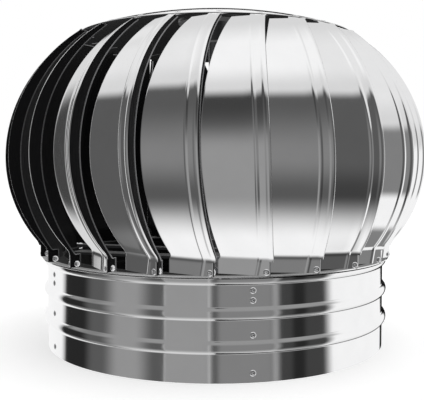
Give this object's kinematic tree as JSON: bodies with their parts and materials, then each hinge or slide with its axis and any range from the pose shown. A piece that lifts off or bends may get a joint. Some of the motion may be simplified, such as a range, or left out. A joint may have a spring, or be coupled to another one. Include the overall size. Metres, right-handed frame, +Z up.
{
  "type": "rotating chimney cowl",
  "caption": "Wind-driven rotating cowl: a beaded round neck carries a spindle, on which a ring of curved flanged vanes under a domed plate turns freely.",
  "frame": {"origin": "centre of the neck's lower rim, on the axis of rotation", "axes": "+Z up along the axis of rotation, -Y towards the front"},
  "size_m": [0.4934, 0.4934, 0.388],
  "materials": {
    "sheet_steel": "bright mirror-finished stainless sheet",
    "rivet_metal": "bright blind rivets",
    "bar_steel": "milled flat bar",
    "zinc_steel": "zinc-plated fasteners",
    "bearing_steel": "ground bearing rings",
    "housing_steel": "turned housings"
  },
  "bodies": {
    "neck": {"neck_shell": "sheet_steel", "arm_rivets": "rivet_metal", "seam_rivets": "rivet_metal", "support_arm_1": "bar_steel", "support_arm_2": "bar_steel", "support_arm_3": "bar_steel", "hub_plate": "bar_steel", "hub_bolts": "zinc_steel", "hub_nuts": "zinc_steel", "hub_washer": "zinc_steel", "spindle_nut": "zinc_steel", "spindle": "bearing_steel", "lower_inner_ring": "bearing_steel", "upper_inner_ring": "bearing_steel", "top_washer": "zinc_steel", "top_nut": "zinc_steel"},
    "rotor": {"bottom_ring": "sheet_steel", "flange_rivets": "rivet_metal", "foot_rivets": "rivet_metal", "lower_housing": "housing_steel", "lower_housing_bolts": "zinc_steel", "lower_outer_ring": "bearing_steel", "rotor_spider": "bar_steel", "spider_rivets": "rivet_metal", "top_plate": "sheet_steel", "top_rivets": "rivet_metal", "upper_housing": "housing_steel", "upper_housing_bolts": "zinc_steel", "upper_outer_ring": "bearing_steel", "vane_01": "sheet_steel", "vane_02": "sheet_steel", "vane_03": "sheet_steel", "vane_04": "sheet_steel", "vane_05": "sheet_steel", "vane_06": "sheet_steel", "vane_07": "sheet_steel", "vane_08": "sheet_steel", "vane_09": "sheet_steel", "vane_10": "sheet_steel", "vane_11": "sheet_steel", "vane_12": "sheet_steel", "vane_13": "sheet_steel", "vane_14": "sheet_steel", "vane_15": "sheet_steel", "vane_16": "sheet_steel", "vane_17": "sheet_steel", "vane_18": "sheet_steel", "vane_19": "sheet_steel", "vane_20": "sheet_steel", "vane_21": "sheet_steel", "vane_22": "sheet_steel", "vane_23": "sheet_steel", "vane_24": "sheet_steel"}
  },
  "joints": [
    {"name": "rotor_spin", "type": "hinge", "parent": "neck", "child": "rotor", "pos_m": [0, 0, 0.11], "axis": [0, 0, 1], "continuous": true}
  ]
}
